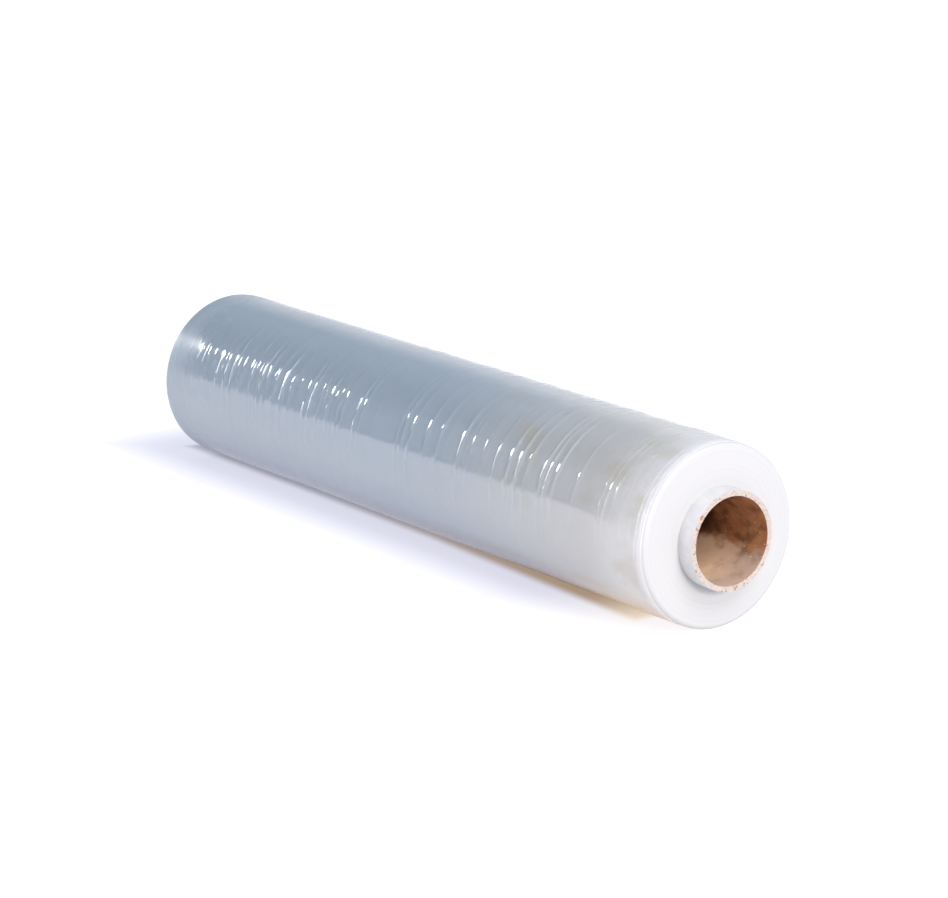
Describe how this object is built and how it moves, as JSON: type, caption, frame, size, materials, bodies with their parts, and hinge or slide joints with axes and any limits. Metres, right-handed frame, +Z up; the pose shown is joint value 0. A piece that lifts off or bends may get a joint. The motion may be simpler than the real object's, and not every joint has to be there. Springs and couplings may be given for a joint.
{
  "type": "roll of body wrap film",
  "caption": "Roll of clear body wrap film on a cardboard core, lying on its side: tight ridges round the film, and a hollow core that stands out a little at both ends.",
  "frame": {"origin": "on the surface that the roll lies on, under the middle of the roll", "axes": "+X along the core, +Z up, +Y across the roll towards the side where the film's tail ends"},
  "size_m": [0.523, 0.1068, 0.1061],
  "materials": {
    "cardboard": "spiral-wound kraft board, brown inside, with a paler outer ply and rough-cut ends",
    "film": "many turns of clear film wound tight, glossy and cloudy, with a white end face"
  },
  "bodies": {
    "root": {"cardboard_core": "cardboard", "film_roll": "film"}
  },
  "joints": []
}
